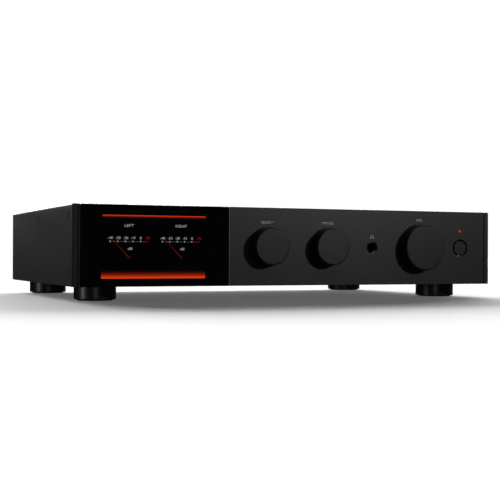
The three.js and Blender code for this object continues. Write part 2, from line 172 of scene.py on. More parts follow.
def glowing_band(name, color, strength, bright_z, dark_z, power):
    """Light that fades along z from bright_z to dark_z, both in millimetres."""
    material = lit(name, color, strength)
    tree = material.node_tree
    coords = add_node(tree, "ShaderNodeTexCoord")
    split = add_node(tree, "ShaderNodeSeparateXYZ")
    fade = add_node(tree, "ShaderNodeMapRange")
    fade.inputs["From Min"].default_value = dark_z * MM
    fade.inputs["From Max"].default_value = bright_z * MM
    curve = add_node(tree, "ShaderNodeMath", operation="POWER")
    curve.inputs[1].default_value = power
    scaled = add_node(tree, "ShaderNodeMath", operation="MULTIPLY")
    scaled.inputs[1].default_value = strength
    tree.links.new(coords.outputs["Object"], split.inputs["Vector"])
    tree.links.new(split.outputs["Z"], fade.inputs["Value"])
    tree.links.new(fade.outputs["Result"], curve.inputs[0])
    tree.links.new(curve.outputs["Value"], scaled.inputs[0])
    tree.links.new(scaled.outputs["Value"], shader_of(material).inputs["Emission Strength"])
    return material


def smoked_glass(name, color):
    material = bpy.data.materials.new(name)
    material.use_nodes = True
    shader = shader_of(material)
    shader.inputs["Base Color"].default_value = (*color, 1.0)
    shader.inputs["Roughness"].default_value = 0.0
    shader.inputs["IOR"].default_value = 1.5
    shader.inputs["Transmission Weight"].default_value = 1.0
    return material


anodised = finish("anodised_black", (0.021, 0.021, 0.022), 0.42, grain=2400, height=0.03, mottle=0.3,
                  patch=1000)
knob_metal = finish("knob_black", (0.013, 0.013, 0.014), 0.38, grain=2400, height=0.03, mottle=0.3,
                    patch=1000)
powder_coat = finish("cover_powder_coat", (0.020, 0.020, 0.021), 0.5, grain=1500, height=0.04,
                     mottle=0.2, patch=700)
rear_paint = finish("rear_paint", (0.016, 0.016, 0.017), 0.45, grain=1800, height=0.02, mottle=0.08)
moulded = finish("moulded_black", (0.013, 0.013, 0.014), 0.42, grain=2200, height=0.015, mottle=0.1)
foot_plastic = finish("foot_black", (0.010, 0.010, 0.0105), 0.36, height=0.004, mottle=0.08)
pad_rubber = finish("pad_rubber", (0.018, 0.018, 0.018), 0.85, grain=1500, height=0.04, mottle=0.15)
black_oxide = finish("black_oxide", (0.018, 0.018, 0.019), 0.35, metallic=0.6, grain=1800, mottle=0.12)
# Painted highlight: a light grey for the flat strip that stands in for the lit chamfer beside the window.
cut_metal = finish("cut_metal", (0.26, 0.26, 0.265), 0.4, metallic=0.3, grain=2400, height=0.004,
                   mottle=0.1)
gloss_black = finish("gloss_black", (0.004, 0.004, 0.0045), 0.18, height=0.002)
mark_grey = finish("mark_grey", (0.05, 0.05, 0.052), 0.5, grain=1500, height=0.003)
print_grey = finish("printed_grey", (0.86, 0.86, 0.87), 0.6, grain=2500, height=0.003)
print_white = finish("printed_white", (0.75, 0.75, 0.74), 0.6, grain=2500, height=0.003, mottle=0.03)
zinc = finish("zinc_plate", (0.27, 0.27, 0.28), 0.42, metallic=0.9, grain=500, height=0.008,
              mottle=0.12)
nickel = finish("nickel_plate", (0.60, 0.58, 0.54), 0.22, metallic=1.0, height=0.003, mottle=0.06)
gold = finish("gold_plate", (0.75, 0.53, 0.22), 0.22, metallic=1.0, height=0.003, mottle=0.06)
bare_aluminium = finish("sink_aluminium", (0.55, 0.56, 0.58), 0.4, metallic=0.95, grain=1200,
                        stretch=(1.0, 1.0, 0.06), mottle=0.12)
solder_mask = finish("board_green", (0.015, 0.10, 0.05), 0.35, grain=700, mottle=0.35, patch=160)
tape = finish("winding_tape", (0.50, 0.36, 0.07), 0.25, grain=260, height=0.08, mottle=0.2, patch=90)
sleeve = finish("capacitor_sleeve", (0.015, 0.022, 0.05), 0.3, grain=500, mottle=0.12)
cap_red = finish("terminal_red", (0.42, 0.012, 0.012), 0.3, height=0.006, mottle=0.08)
cap_black = finish("terminal_black", (0.012, 0.012, 0.013), 0.3, height=0.006, mottle=0.08)
insulator_white = finish("insulator_white", (0.72, 0.72, 0.70), 0.4, height=0.006, mottle=0.03)
insulator_red = finish("insulator_red", (0.55, 0.02, 0.02), 0.4, height=0.006)
insulator_orange = finish("insulator_orange", (0.70, 0.22, 0.02), 0.4, height=0.006)
display_black = finish("display_black", (0.002, 0.002, 0.002), 0.6, grain=1500, height=0.002,
                       specular=0.1, mottle=0.12)
window_glass = smoked_glass("smoked_window", (0.10, 0.10, 0.102))
lamp_red = lit("lamp_red", (1.0, 0.01, 0.01), 0.85)


# -------------------- mesh helpers, in millimetres
def joined(shells):
    points, faces = [], []
    for shell_points, shell_faces in shells:
        offset = len(points)
        points += shell_points
        faces += [[index + offset for index in face] for face in shell_faces]
    return points, faces


def cuboid(x, y, z):
    points = [(a, b, c) for a in x for b in y for c in z]
    faces = [(0, 1, 3, 2), (4, 6, 7, 5), (0, 4, 5, 1), (2, 3, 7, 6), (0, 2, 6, 4), (1, 5, 7, 3)]
    return points, faces


def oriented(points, axis, centre):
    """Moves points modelled about +z to a centre, with +z along the named axis."""
    turns = {
        "z": Matrix.Identity(3),
        "y": Matrix.Rotation(-math.pi / 2, 3, "X"),
        "-y": Matrix.Rotation(math.pi / 2, 3, "X"),
        "x": Matrix.Rotation(math.pi / 2, 3, "Y"),
        "-x": Matrix.Rotation(-math.pi / 2, 3, "Y"),
    }
    turn = turns[axis]
    return [tuple(turn @ Vector(p) + Vector(centre)) for p in points]


def lathe(profile, axis="z", centre=(0, 0, 0), segments=96):
    """A turned shell. The profile holds (radius, height) and starts and ends on the axis or closes."""
    rings = []
    points = []
    for radius, height in profile:
        if radius == 0:
            rings.append([len(points)])
            points.append((0, 0, height))
            continue
        first = len(points)
        for step in range(segments):
            angle = math.tau * step / segments
            points.append((radius * math.cos(angle), radius * math.sin(angle), height))
        rings.append(list(range(first, first + segments)))
    closed = profile[0][0] != 0
    pairs = list(zip(rings, rings[1:]))
    if closed:
        pairs.append((rings[-1], rings[0]))
    faces = []
    for a, b in pairs:
        for step in range(segments):
            after = (step + 1) % segments
            if len(a) == 1:
                faces.append((a[0], b[step], b[after]))
            elif len(b) == 1:
                faces.append((a[step], b[0], a[after]))
            else:
                faces.append((a[step], b[step], b[after], a[after]))
    return oriented(points, axis, centre), faces


def walls(count):
    """The side faces between two copies of an outline with this many points."""
    return [(i, (i + 1) % count, (i + 1) % count + count, i + count) for i in range(count)]


def closed(points):
    """A shell from two copies of an outline, given one after the other."""
    count = len(points) // 2
    return points, [tuple(range(count - 1, -1, -1)), tuple(range(count, 2 * count))] + walls(count)


def prism(outline, low, high, axis="z", centre=(0, 0, 0)):
    """A closed outline in the plane, extruded from low to high along an axis."""
    points = [(a, b, low) for a, b in outline] + [(a, b, high) for a, b in outline]
    return closed(oriented(points, axis, centre))


def disc(radius, low, high):
    """A lathe profile of a plain cylinder."""
    return [(0, low), (radius, low), (radius, high), (0, high)]


def ring_points(radius, count):
    return [(radius * math.cos(math.tau * i / count), radius * math.sin(math.tau * i / count))
            for i in range(count)]


def rounded_outline(width, height, radius, steps=6):
    corners = ((1, 1, 0), (-1, 1, 1), (-1, -1, 2), (1, -1, 3))
    outline = []
    for side_x, side_y, quarter in corners:
        for step in range(steps + 1):
            angle = (quarter + step / steps) * math.pi / 2
            outline.append((side_x * (width / 2 - radius) + radius * math.cos(angle),
                            side_y * (height / 2 - radius) + radius * math.sin(angle)))
    return outline


def build(name, shells, material):
    """One object from closed shells given in millimetres, with its faces turned outwards."""
    points, faces = joined(shells)
    mesh = bpy.data.meshes.new(name)
    mesh.from_pydata([Vector(p) * MM for p in points], [], faces)
    work = bmesh.new()
    work.from_mesh(mesh)
    bmesh.ops.remove_doubles(work, verts=work.verts, dist=1e-7)
    bmesh.ops.recalc_face_normals(work, faces=work.faces)
    work.to_mesh(mesh)
    work.free()
    if material:
        mesh.materials.append(material)
    obj = bpy.data.objects.new(name, mesh)
    bpy.context.scene.collection.objects.link(obj)
    return obj


def apply_modifiers(obj):
    depsgraph = bpy.context.evaluated_depsgraph_get()
    obj.data = bpy.data.meshes.new_from_object(obj.evaluated_get(depsgraph))
    obj.modifiers.clear()


def combine(obj, shells, operation):
    tool = build(obj.name + "_tool", shells, None)
    modifier = obj.modifiers.new("combine", "BOOLEAN")
    modifier.operation = operation
    modifier.solver = "EXACT"
    modifier.use_self = True
    modifier.object = tool
    apply_modifiers(obj)
    bpy.data.objects.remove(tool)


def cut(obj, shells):
    combine(obj, shells, "DIFFERENCE")


def add(obj, shells):
    combine(obj, shells, "UNION")


def soften(obj, width, segments=3, angle=35):
    """Rounds every edge sharper than an angle, and shades the faces between smooth and flat."""
    for polygon in obj.data.polygons:
        polygon.use_smooth = True
    bevel = obj.modifiers.new("edges", "BEVEL")
    bevel.width = width * MM
    bevel.segments = segments
    bevel.limit_method = "ANGLE"
    bevel.angle_limit = math.radians(angle)
    bevel.harden_normals = True
    bevel.use_clamp_overlap = True


def piece(obj, body, slot, *nodes):
    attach(obj, body)
    if nodes:
        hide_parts(*nodes)
    return obj


def repaint(node, material):
    materials = frame["nodes"][node].data.materials
    materials.clear()
    materials.append(material)


# -------------------- camera and studio
def rotation(x, roll, z):
    """A roll about the own axis, then a tilt about x, then a turn about z, in degrees."""
    return (Matrix.Rotation(math.radians(z), 4, "Z") @ Matrix.Rotation(math.radians(x), 4, "X")
            @ Matrix.Rotation(math.radians(roll), 4, "Z"))


def make_camera():
    data = bpy.data.cameras.new("camera")
    data.sensor_width = 36.0
    data.lens = 76.65
    data.clip_end = 100.0
    camera = bpy.data.objects.new("camera", data)
    bpy.context.scene.collection.objects.link(camera)
    place = Matrix.Translation((-0.4436, -1.0882, 0.0439))
    camera.matrix_world = place @ rotation(90.24, 0.23, -22.80)
    bpy.context.scene.camera = camera


def area_light(name, place, target, size, watts, group):
    data = bpy.data.lights.new(name, "AREA")
    data.energy = watts
    data.size = size
    light = bpy.data.objects.new(name, data)
    bpy.context.scene.collection.objects.link(light)
    direction = Vector(target) - Vector(place)
    turn = direction.to_track_quat("-Z", "Y").to_matrix().to_4x4()
    light.matrix_world = Matrix.Translation(place) @ turn
    light.light_linking.receiver_collection = group


def background(tree, strength):
    node = add_node(tree, "ShaderNodeBackground")
    node.inputs["Color"].default_value = (1, 1, 1, 1)
    node.inputs["Strength"].default_value = strength
    return node.outputs["Background"]


def make_world():
    """White to the camera, and almost no light on the object."""
    world = bpy.data.worlds.new("studio")
    bpy.context.scene.world = world
    world.use_nodes = True
    tree = world.node_tree
    tree.nodes.clear()
    path = add_node(tree, "ShaderNodeLightPath")
    mix = add_node(tree, "ShaderNodeMixShader")
    output = add_node(tree, "ShaderNodeOutputWorld")
    tree.links.new(path.outputs["Is Camera Ray"], mix.inputs["Fac"])
    tree.links.new(background(tree, 0.02), mix.inputs[1])
    tree.links.new(background(tree, 1.05), mix.inputs[2])
    tree.links.new(mix.outputs["Shader"], output.inputs["Surface"])


def make_floor():
    """A wide pale floor that no reflection shows."""
    reach = (-40000, 40000)
    floor = build("floor", [cuboid(reach, reach, (-10, 0))], None)
    material = bpy.data.materials.new("pale_floor")
    material.use_nodes = True
    shader = shader_of(material)
    shader.inputs["Base Color"].default_value = (0.8, 0.8, 0.8, 1)
    shader.inputs["Roughness"].default_value = 0.9
    shader.inputs["Specular IOR Level"].default_value = 0.0
    shader.inputs["Emission Color"].default_value = (1, 1, 1, 1)
    shader.inputs["Emission Strength"].default_value = 0.10
    floor.data.materials.append(material)
    floor.visible_glossy = False
    floor.visible_diffuse = False
    floor.visible_transmission = False
    return floor


light_groups = {}


def light_group(name, state="INCLUDE"):
    """A group that a light falls on alone, or that it leaves out."""
    group = bpy.data.collections.new(name)
    light_groups[name] = (group, state)
    return group


def light_falls_on(name, obj):
    group, state = light_groups[name]
    group.objects.link(obj)
    for member in group.collection_objects:
        member.light_linking.link_state = state


def back_light(name, tilt, turn, energy, spread, group):
    """A broad light from low behind: its tilt from the vertical, its turn about it, and its spread."""
    sun = bpy.data.lights.new(name, "SUN")
    sun.energy = energy
    sun.angle = math.radians(spread)
    lamp = bpy.data.objects.new(name, sun)
    bpy.context.scene.collection.objects.link(lamp)
    lamp.matrix_world = rotation(-tilt, 0, turn)
    lamp.light_linking.receiver_collection = group


def make_lights(floor):
    on_floor = light_group("floor_only")
    light_falls_on("floor_only", floor)
    on_object = light_group("all_but_floor", "EXCLUDE")
    light_falls_on("all_but_floor", floor)
    on_sides = light_group("sides_and_feet")
    on_feet = light_group("feet_only")
    for index, turn in enumerate((12, -8, -28, -46)):
        back_light(f"floor_light_{index + 1}", 74, turn, 3.65, 30, on_floor)
    for index, turn in enumerate((-5, -22, -40)):
        back_light(f"rim_light_{index + 1}", 69, turn, 3.5, 32, on_object)
    area_light("key", (0.53, -1.08, 0.37), (0.0, -0.15, 0.05), 0.10, 1.94, on_object)
    area_light("top_front", (0.16, -0.62, 0.75), (0.14, -0.15, 0.06), 0.45, 0.7, on_object)
    area_light("left_low", (-1.376, -0.268, 0.05), (-0.2, -0.08, 0.03), 0.12, 1.7, on_sides)
    area_light("front_low", (-0.396, -1.283, 0.03), (-0.188, -0.1, 0.01), 0.12, 0.5, on_feet)
    area_light("right_fill", (1.6, 0.3, 0.6), (0.22, 0, 0.06), 0.9, 2.6, on_object)


bpy.context.scene.view_settings.view_transform = "Standard"
make_camera()
make_world()
make_lights(make_floor())


# -------------------- front panel
REBATE = FRONT + 3.7
COVER_EDGE = TOP - SHEET - 0.3
BUTTON_HOLE = 8.85
LAMP_HOLE = 1.5
SHAFT_HOLE = 6.0
SOCKET_HOLE = 6.0
PRINT_LIFT = 0.03


def make_fascia():
    """The front plate, stepped for the window, display, cover and tray, with its round holes."""
    x, y, z = fascia_box
    window = window_box[0]
    display = span("display_module")
    obj = build("fascia_panel", [cuboid(x, y, z)], anodised)
    wide = (x[0] - 1, x[1] + 1)
    behind = (REBATE, y[1] + 1)
    recess = (y[0] - 1, window_box[1][1] + 0.2)
    tools = [
        cuboid((window[0] - 0.15, window[1] + 0.15), recess, (z[0] - 1, z[1] + 1)),
        cuboid((display[0][0] - 3, display[0][1] + 3), (y[0] + 1, y[1] + 1),
               (display[2][0] - 1.5, display[2][1] + 1.5)),
        cuboid(wide, behind, (COVER_EDGE, TOP + 1)),
        cuboid(wide, behind, (z[0] - 1, z[0] + 1.5)),
    ]
    start = y[0] - 2
    depth = y[1] + 2 - start
    for node, radius in (("power_button", BUTTON_HOLE), ("standby_light_pipe", LAMP_HOLE),
                         ("headphone_socket", SOCKET_HOLE)):
        tools.append(round_tool(radius, front_place(node), start, depth))
    for name in KNOBS:
        place = joint_place(name + "_turn")
        tools.append(round_tool(SHAFT_HOLE, (place.x, place.z), start, depth))
    cut(obj, tools)
    soften(obj, 0.45, 4)
    light_falls_on("sides_and_feet", obj)
    piece(obj, CASE, "fascia_black", "front_fascia")


def round_tool(radius, place, start, depth, segments=72):
    """A round cutter into the front, at an (x, z)."""
    return lathe(disc(radius, 0, depth), "y", (place[0], start, place[1]), segments)


def make_painted_edge_highlight():
    """A painted highlight: a thin light strip laid on the front of the plate along the window, standing in
    for the light caught by the plate's chamfer.
    """
    width, low, high = 0.42, 0.3, TOP - UNDERSIDE - 0.3
    outline = [(0, low), (width, low), (width, high), (0, high)]
    strip = flat_shape(outline, window_box[0][1] + 0.2, UNDERSIDE, FRONT - PRINT_LIFT)
    piece(build("cut_edge", [strip], cut_metal), CASE, "fascia_black")


def make_cheek(side):
    """An end cheek, whose thin lip covers the front edge of the cover's side."""
    node = side + "_end_cheek"
    x, y, z = span(node)
    inner, outer = x if side == "right" else x[::-1]
    sheet_gap = SHEET + 0.3
    leg = outer - sheet_gap if side == "right" else outer + sheet_gap
    lip = y[0] + 1.0
    outline = [(inner, y[0]), (outer, y[0]), (outer, lip), (leg, lip), (leg, y[1]), (inner, y[1])]
    obj = build(side + "_cheek_trim", [prism(outline, z[0], z[1])], anodised)
    cut(obj, [cuboid((x[0] - 1, x[1] + 1), (REBATE, y[1] + 1), (COVER_EDGE, TOP + 1))])
    soften(obj, 0.4, 4)
    piece(obj, CASE, "fascia_black", node)


def make_window():
    x, y, z = window_box
    obj = build("smoked_display_window", [cuboid(x, y, z)], window_glass)
    soften(obj, 0.3, 3)
    piece(obj, CASE, "window_glass", "display_window")


def print_text(name, words, cap, centre, material, slot, width=None, weight=0.0):
    """Words on the front, by the height of their capitals and their centre at (x, y, z), in mm."""
    curve = bpy.data.curves.new(name, "FONT")
    curve.body = words
    curve.resolution_u = 4
    curve.offset = weight
    text = bpy.data.objects.new(name, curve)
    bpy.context.scene.collection.objects.link(text)
    depsgraph = bpy.context.evaluated_depsgraph_get()
    mesh = bpy.data.meshes.new_from_object(text.evaluated_get(depsgraph))
    bpy.data.objects.remove(text)
    xs = [v.co.x for v in mesh.vertices]
    ys = [v.co.y for v in mesh.vertices]
    tall = cap / (max(ys) - min(ys))
    wide = width / (max(xs) - min(xs)) if width else tall
    mid_x = (max(xs) + min(xs)) / 2
    mid_y = (max(ys) + min(ys)) / 2
    for vertex in mesh.vertices:
        vertex.co = Vector((centre[0] + (vertex.co.x - mid_x) * wide, centre[1],
                            centre[2] + (vertex.co.y - mid_y) * tall)) * MM
    mesh.materials.clear()
    mesh.materials.append(material)
    obj = bpy.data.objects.new(name, mesh)
    bpy.context.scene.collection.objects.link(obj)
    thicken(obj, 0.02)
    return piece(obj, CASE, slot)


def thicken(obj, depth):
    solidify = obj.modifiers.new("depth", "SOLIDIFY")
    solidify.thickness = depth * MM
    solidify.offset = 0.0


def make_labels():
    """The words above the knobs, with their heights and widths."""
    rows = (("select", "SELECT", 60.7, 14.5), ("mode", "MODE", 60.7, 12.4), ("volume", "VOL", 65.3, 7.5))
    for knob, words, height, width in rows:
        centre = (joint_place(knob + "_turn").x, FRONT - 0.02, UNDERSIDE + height)
        print_text(knob + "_label", words, 2.6, centre, print_grey, "fascia_black", width, 0.016)


def make_headphone_mark():
    """A headband arc with two ear pads, printed above the socket."""
    x, z = front_place("headphone_socket")[0], UNDERSIDE + 47.9
    face = FRONT - PRINT_LIFT
    outer, inner = 1.65, 1.25
    steps = [math.pi * step / 16 for step in range(17)]
    arc = [(outer * math.cos(a), outer * math.sin(a)) for a in steps]
    arc += [(inner * math.cos(a), inner * math.sin(a)) for a in reversed(steps)]
    shells = [flat_shape(arc, x, z, face)]
    for side in (-1, 1):
        pad = [(side * 1.45 + a, b - 0.8) for a, b in rounded_outline(1.0, 1.8, 0.35)]
        shells.append(flat_shape(pad, x, z, face))
    obj = build("headphone_mark", shells, print_grey)
    piece(obj, CASE, "fascia_black")


def flat_shape(outline, x, z, y, depth=0.03):
    """A thin printed shape on the front, from an outline in (right, up)."""
    return closed([(x + a, y + back, z + b) for back in (0, depth) for a, b in outline])


def make_knob(name):
    """A hollow knob: a flat face, a skirt that widens towards the panel, and a bored boss."""
    box = span(name + "_knob")
    centre = joint_place(name + "_turn")
    base = half(box[0])
    reach = FRONT - box[1][0]
    lift = FRONT - box[1][1]
    rim = base - 1.5
    inside = reach - 4
    boss, bore, bore_end = 5, 3.2, 6.4
    profile = [
        (0, reach), (rim - 1, reach), (rim, reach - 1), (rim + 0.35, inside), (base, lift),
        (base - 2.5, lift), (rim - 2.5, inside), (boss, inside), (boss, lift), (bore, lift),
        (bore, bore_end), (0, bore_end),
    ]
    obj = build(name + "_dial", [lathe(profile, "-y", (centre.x, FRONT, centre.z), 160)], knob_metal)
    soften(obj, 0.25, 3, 25)
    piece(obj, name + "_control", "knob_black", name + "_knob")


def make_power_button():
    """The key's cap and stem, with a thin ring printed on the cap."""
    box = span("power_button")
    x, z = front_place("power_button")
    centre = (x, box[1][0], z)
    radius, stem, cap_depth = half(box[0]), 3.5, 5
    depth = box[1][1] - box[1][0]
    profile = [(0, 0), (radius, 0), (radius, -cap_depth), (stem, -cap_depth), (stem, -depth), (0, -depth)]
    obj = build("power_key", [lathe(profile, "-y", centre, 96)], knob_metal)
    soften(obj, 0.25, 3)
    piece(obj, "power_key", "knob_black", "power_button")
    ring = [(4.3, -0.01), (4.3, 0.015), (3.75, 0.015), (3.75, -0.01)]
    mark = build("power_mark", [lathe(ring, "-y", centre, 72)], mark_grey)
    piece(mark, "power_key", "knob_black")


def make_lamp():
    """The light pipe, from its domed end in the panel to its collar on the board."""
    box = span("standby_light_pipe")
    x, z = front_place("standby_light_pipe")
    radius, collar = 1.25, half(box[0])
    end = FRONT - box[1][1]
    shoulder = FRONT - span("select_encoder")[1][0] - 5.8
    dome = [(0, -0.02), (0.55 * radius, -0.06), (0.9 * radius, -0.25), (radius, -0.5)]
    profile = dome + [(radius, shoulder), (collar, shoulder), (collar, end), (0, end)]
    obj = build("standby_lamp", [lathe(profile, "-y", (x, FRONT, z), 48)], lamp_red)
    for polygon in obj.data.polygons:
        polygon.use_smooth = True
    piece(obj, CASE, "lens_red", "standby_light_pipe")


def make_headphone_socket():
    """A glossy bushing with its bore, the housing behind it and the contact inside."""
    box = span("headphone_socket")
    x, z = front_place("headphone_socket")
    centre = (x, box[1][0], z)
    radius, bore, depth = 5.8, 3.25, 34.0
    bushing = [(bore, -2.2), (bore, -depth), (4.2, -depth), (radius, -9.5), (radius, -0.05), (5.3, 0.0),
               (4.9, -0.3), (4.5, -0.5)]
    shell = build("headphone_bushing", [lathe(bushing, "-y", centre, 72)], gloss_black)
    soften(shell, 0.15, 2)
    piece(shell, CASE, "moulded_black", "headphone_socket")
    body = cuboid(box[0], (FRONT + 9.8, box[1][1]), (z - half(box[0]), z + half(box[0])))
    housing = build("headphone_housing", [body], moulded)
    cut(housing, [round_tool(4.4, (x, z), FRONT + 9, 25.5, 48)])
    soften(housing, 0.4, 2)
    piece(housing, CASE, "moulded_black")
    spring = [(2.6, -8.0), (3.24, -8.6), (3.24, -9.4), (2.6, -10.0)]
    contact = build("headphone_contact", [lathe(spring, "-y", centre, 48)], nickel)
    piece(contact, CASE, "plated_steel")


make_fascia()
make_painted_edge_highlight()
for side in SIDES:
    make_cheek(side)
make_window()
make_labels()
make_headphone_mark()
for knob in KNOBS:
    make_knob(knob)
make_power_button()
make_lamp()
make_headphone_socket()


# -------------------- lit display behind the window
DISPLAY_Y = window_box[1][1] + 0.15
SHIFT_X = 0.9
SCALE_PITCH = 7.2
# The scale's figures and their widths.
SCALE = (("-40", 4.7), ("-30", 4.7), ("-20", 4.7), ("-10", 4.2), ("0", 1.9), ("10", 3.3))
# Each meter's middle, the place of its first figure and the width of its title.
METERS = {"left": (-168.7, -187.2, 8.8), "right": (-118.5, -137.4, 11.1)}
FIGURES_Z, LINE_Z, UNIT_Z, TITLE_Z = 44.6, 41.4, 34.7, 55.9
orange = (1.0, 0.056, 0.005)
white_light = lit("display_white", (0.92, 0.93, 1.0), 5.0)
line_light = lit("display_line", (0.9, 0.92, 1.0), 0.8)
red_light = lit("display_red", (1.0, 0.02, 0.01), 4.0)
needle_red = lit("needle_red", (1.0, 0.07, 0.03), 2.9)


def bar_glow(name, x, z, bright, dark, strength, power):
    """A lit bar over ranges of x and z, whose light fades from the bright to the dark height."""
    material = glowing_band(name + "_light", orange, strength, UNDERSIDE + bright, UNDERSIDE + dark, power)
    shell = cuboid([a + SHIFT_X for a in x], (DISPLAY_Y, DISPLAY_Y + 0.05), [b + UNDERSIDE for b in z])
    piece(build(name, [shell], material), CASE, "display_black")


def stroke(x, z, width, height):
    """A thin upright mark on the display, with its centre at x, z."""
    right, up = width / 2, height / 2
    outline = [(-right, -up), (right, -up), (right, up), (-right, up)]
    return flat_shape(outline, x + SHIFT_X, UNDERSIDE + z, DISPLAY_Y)


def display_text(name, words, cap, x, z, light, width):
    centre = (x + SHIFT_X, DISPLAY_Y, UNDERSIDE + z)
    print_text(name, words, cap, centre, light, "display_black", width, -0.012)


def display_marks(name, shells, light):
    piece(build(name, shells, light), CASE, "display_black")


def make_meter(side):
    """One level meter: its figures, its scale line with a red end, its unit, title and needle."""
    centre_x, first_x, title_width = METERS[side]
    for index, (words, width) in enumerate(SCALE):
        light = red_light if words == "10" else white_light
        x = first_x + index * SCALE_PITCH - 0.3
        display_text(f"{side}_scale_{index}", words, 2.3, x, FIGURES_Z, light, width)
    line_x = first_x - 0.5
    ticks = [stroke(line_x + index * SCALE_PITCH, LINE_Z, 0.7, 1.2) for index in range(5)]
    display_marks(side + "_scale_ticks", ticks, white_light)
    rail = [stroke(line_x + (index + 0.5) * SCALE_PITCH, LINE_Z - 0.1, SCALE_PITCH - 1.2, 0.35)
            for index in range(4)]
    display_marks(side + "_scale_line", rail, line_light)
    red_x = first_x + 4.25 * SCALE_PITCH
    over = [stroke(red_x + index * 0.3 * SCALE_PITCH, LINE_Z - 0.2, 0.2 * SCALE_PITCH, 0.5)
            for index in range(3)]
    display_marks(side + "_scale_red", over, red_light)
    display_text(side + "_unit", "dB", 2.2, centre_x, UNIT_Z, white_light, 4.4)
    display_text(side + "_title", side.upper(), 2.4, centre_x - 1, TITLE_Z, white_light, title_width)
    foot_x, foot_z, tip_x, tip_z = centre_x - 0.3, 25.8, centre_x - 16.9, 43.4
    needle = [(foot_x - 0.2, foot_z), (foot_x + 0.2, foot_z), (tip_x + 0.08, tip_z), (tip_x - 0.08, tip_z)]
    display_marks(side + "_needle", [flat_shape(needle, SHIFT_X, UNDERSIDE, DISPLAY_Y)], needle_red)


def make_window_mask():
    """The black print on the back of the glass, open where the display shows through."""
    x, y, z = window_box
    display = span("display_module")
    sheet = build("window_mask", [cuboid(x, (y[1] + 0.03, y[1] + 0.1), z)], display_black)
    cut(sheet, [cuboid((display[0][0] + 4, display[0][1] - 4), (y[1] - 1, y[1] + 1),
                       (display[2][0] + 1, display[2][1] - 1))])
    piece(sheet, CASE, "display_black")


def make_display():
    make_window_mask()
    bar_glow("top_bar", (-194.5, -95.5), (61.0, 65.4), 65.2, 61.0, 8.0, 5.5)
    bar_glow("bottom_bar", (-195.8, -95.8), (7.5, 16.0), 7.7, 16.0, 9.5, 3.1)
    for side in METERS:
        make_meter(side)
    repaint("display_module", display_black)


make_display()


# -------------------- case
VENT_DEPTHS = (85, 150)
VENT_COLUMNS, VENT_PITCH, VENT_WIDTH, VENT_LENGTH = 22, 12, 3.6, 40


def screw_places():
    names = sorted(n for n in frame["nodes"] if n.endswith("_screw"))
    return [(name, span(name)) for name in names]


def vent_slots(low, high):
    """Cutters for the rows of slots in the top."""
    shells = []
    first = -(VENT_COLUMNS - 1) * VENT_PITCH / 2
    outline = rounded_outline(VENT_WIDTH, VENT_LENGTH, VENT_WIDTH / 2 - 0.01, 5)
    for depth in VENT_DEPTHS:
        for column in range(VENT_COLUMNS):
            centre = (first + column * VENT_PITCH, FRONT + depth + VENT_LENGTH / 2, 0)
            shells.append(prism(outline, low, high, "z", centre))
    return shells


def make_cover():
    """The U-shaped cover, with its vents, screw holes and a step for the fascia."""
    x, y, z = cover_box
    outer = bent_section(x[0], x[1], z[0], z[1], 1.6)
    inner = bent_section(x[0] + SHEET, x[1] - SHEET, z[0], z[1] - SHEET, 0.4)
    outline = outer + inner[::-1]
    points = [(a, depth, b) for depth in y for a, b in outline]
    count = len(outline)
    faces = walls(count)
    for index in range(len(outer) - 1):
        other = count - 1 - index
        faces.append((index, index + 1, other - 1, other))
        faces.append((index + count, other + count, other - 1 + count, index + 1 + count))
    obj = build("cover_shell", [(points, faces)], powder_coat)
    tools = [cuboid((x[0] + SHEET, x[1] - SHEET), (y[0] - 1, FRONT + 4.0), (z[1] - 6, z[1] + 1))]
    tools += vent_slots(z[1] - 3, z[1] + 1)
    countersink = [(0, 0), (3.75, 0), (3.75, 0.9), (2.3, 2.3), (2.3, 4), (0, 4)]
    for _, box in screw_places():
        face, axis = (x[1] + 0.5, "-x") if box[0][1] > 0 else (-x[1] - 0.5, "x")
        tools.append(lathe(countersink, axis, (face, middle(box[1]), middle(box[2])), 40))
    cut(obj, tools)
    soften(obj, 0.25, 2)
    light_falls_on("sides_and_feet", obj)
    piece(obj, CASE, "cover_paint", "top_cover")


def bent_section(left, right, low, high, radius, steps=5):
    """A U-shaped line, up, across and down, with round bends."""
    line = [(left, low)]
    for centre, start in ((left + radius, math.pi), (right - radius, math.pi / 2)):
        for step in range(steps + 1):
            angle = start - step / steps * math.pi / 2
            line.append((centre + radius * math.cos(angle), high - radius + radius * math.sin(angle)))
    line.append((right, low))
    return line


def make_side_screws():
    """Countersunk screws with a hexagon socket."""
    head, shank = 3.35, 1.9
    profile = [(0, 0), (head, 0), (head, -0.25), (shank, -1.55), (shank, -9.8), (0, -9.8)]
    for name, box in screw_places():
        face, axis = (box[0][1], "x") if box[0][1] > 0 else (box[0][0], "-x")
        centre = (face, middle(box[1]), middle(box[2]))
        obj = build(name + "_head", [lathe(profile, axis, centre, 48)], powder_coat)
        cut(obj, [prism(ring_points(1.25, 6), -1.2, 0.5, axis, centre)])
        soften(obj, 0.12, 2)
        light_falls_on("sides_and_feet", obj)
        piece(obj, CASE, "screw_black", name)


